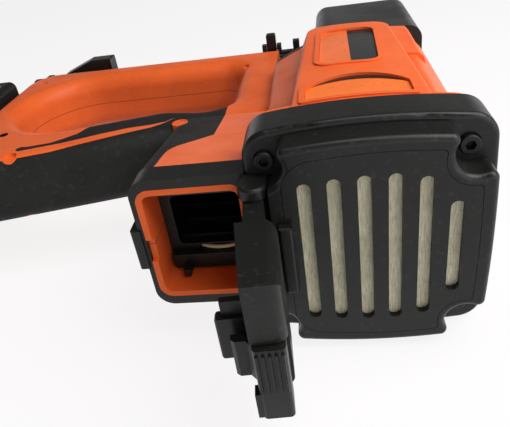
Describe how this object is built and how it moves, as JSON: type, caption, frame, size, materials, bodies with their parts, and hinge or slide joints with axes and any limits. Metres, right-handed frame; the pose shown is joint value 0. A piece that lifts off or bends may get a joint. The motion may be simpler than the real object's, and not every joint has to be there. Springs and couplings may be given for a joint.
{
  "type": "cordless gas nailer",
  "caption": "Cordless gas nailer with a slotted rear filter cap, an open fuel door, a D-shaped grip frame, a slim nail magazine and a slide-on battery.",
  "frame": {"origin": "middle of the bounding box in plan, at its lowest point", "axes": "+Y is the drive direction from the rear cap to the nose, +X from the battery to the barrel, +Z is the tool's left side, which faces up as it lies on its right side"},
  "size_m": [0.3602, 0.4248, 0.1134],
  "materials": {
    "orange_shell": "satin orange",
    "grip_rubber": "matt black",
    "black_shell": "finely grained black",
    "filter_felt": "beige felt",
    "black_screw": "blackened steel",
    "lead_wire": "cream",
    "steel_pin": "ground",
    "spring_steel": "drawn wire",
    "cast_alloy": "cast",
    "hard_steel": "hardened",
    "seal_rubber": "matt",
    "magazine_alloy": "matt black",
    "board_green": "green",
    "battery_case": "finely grained black",
    "battery_plate": "pale grey green, bare",
    "contact_brass": "bright",
    "side_plate": "bare badge",
    "band_plate": "bare badge"
  },
  "bodies": {
    "frame": {"housing_left": "orange_shell", "housing_right": "orange_shell", "grip_left": "grip_rubber", "grip_right": "grip_rubber", "rear_cover": "black_shell", "compartment_collar": "black_shell", "fuel_cage": "black_shell", "nose_housing": "black_shell", "magazine_end_cap": "black_shell", "battery_shoe": "black_shell", "trigger_switch": "black_shell", "ignition_coil": "black_shell", "air_filter": "filter_felt", "rear_cover_screws": "black_screw", "housing_screws": "black_screw", "nosepiece_screws": "black_screw", "ignition_lead": "lead_wire", "door_hinge_pin": "steel_pin", "magazine_latch_pin": "steel_pin", "trigger_pin": "steel_pin", "probe_springs": "spring_steel", "trigger_spring": "spring_steel", "cylinder_head": "cast_alloy", "cylinder": "cast_alloy", "nosepiece": "hard_steel", "nail_rail": "hard_steel", "fan_motor": "hard_steel", "spark_plug": "hard_steel", "head_seal": "seal_rubber", "cylinder_seal": "seal_rubber", "cylinder_bumper": "seal_rubber", "magazine_body": "magazine_alloy", "control_board": "board_green", "battery_contacts": "contact_brass", "side_label_left": "side_plate", "side_label_right": "side_plate", "band_label_left": "band_plate", "band_label_right": "band_plate"},
    "filter_cover": {"filter_cover": "black_shell"},
    "door": {"fuel_door": "black_shell", "door_pressure_block": "black_shell", "door_latch_pin": "steel_pin", "door_latch_spring": "spring_steel"},
    "door_latch": {"door_latch": "black_shell"},
    "fan": {"fan": "black_shell", "motor_shaft": "steel_pin"},
    "piston": {"piston": "cast_alloy", "piston_ring": "hard_steel", "driver_blade": "hard_steel"},
    "probe": {"contact_probe": "hard_steel", "probe_rods": "steel_pin", "combustion_sleeve": "cast_alloy"},
    "pusher": {"nail_pusher": "black_shell", "pusher_spring": "spring_steel"},
    "magazine_latch": {"magazine_latch": "black_shell"},
    "trigger": {"trigger": "black_shell"},
    "battery": {"battery_pack": "battery_case", "battery_label": "battery_plate"},
    "battery_latch": {"battery_latch": "black_shell"}
  },
  "joints": [
    {"name": "filter_cover_pull", "type": "slide", "parent": "frame", "child": "filter_cover", "axis": [0, -1, 0], "range_m": [0, 0.008]},
    {"name": "door_swing", "type": "hinge", "parent": "frame", "child": "door", "pos_m": [0.0786, -0.14756, 0.0567], "axis": [0, 0, 1], "range_deg": [-95, 0]},
    {"name": "door_latch_turn", "type": "hinge", "parent": "door", "child": "door_latch", "pos_m": [0.08332, -0.20156, 0.0567], "axis": [0, 0, 1], "range_deg": [-10, 0], "stiffness_Nm_per_rad": 0.3},
    {"name": "fan_spin", "type": "hinge", "parent": "frame", "child": "fan", "pos_m": [0.1306, -0.09056, 0.0567], "axis": [0, 1, 0], "continuous": true},
    {"name": "piston_stroke", "type": "slide", "parent": "frame", "child": "piston", "axis": [0, 1, 0], "range_m": [0, 0.1]},
    {"name": "probe_press", "type": "slide", "parent": "frame", "child": "probe", "axis": [0, -1, 0], "range_m": [0, 0.022], "stiffness_N_per_m": 400, "deforming": ["probe_springs"]},
    {"name": "pusher_slide", "type": "slide", "parent": "frame", "child": "pusher", "axis": [1, 0, 0], "range_m": [0, 0.15]},
    {"name": "magazine_latch_turn", "type": "hinge", "parent": "frame", "child": "magazine_latch", "pos_m": [0.07235, 0.10044, 0.0767], "axis": [1, 0, 0], "range_deg": [-20, 20], "stiffness_Nm_per_rad": 0.2},
    {"name": "trigger_pull", "type": "hinge", "parent": "frame", "child": "trigger", "pos_m": [0.02249, -0.02774, 0.0567], "axis": [0, 0, 1], "range_deg": [0, 8], "stiffness_Nm_per_rad": 1.5, "deforming": ["trigger_spring"]},
    {"name": "battery_slide", "type": "slide", "parent": "frame", "child": "battery", "axis": [0, -1, 0], "range_m": [0, 0.09]},
    {"name": "battery_latch_press", "type": "slide", "parent": "battery", "child": "battery_latch", "axis": [0, 1, 0], "range_m": [0, 0.003], "stiffness_N_per_m": 400}
  ]
}
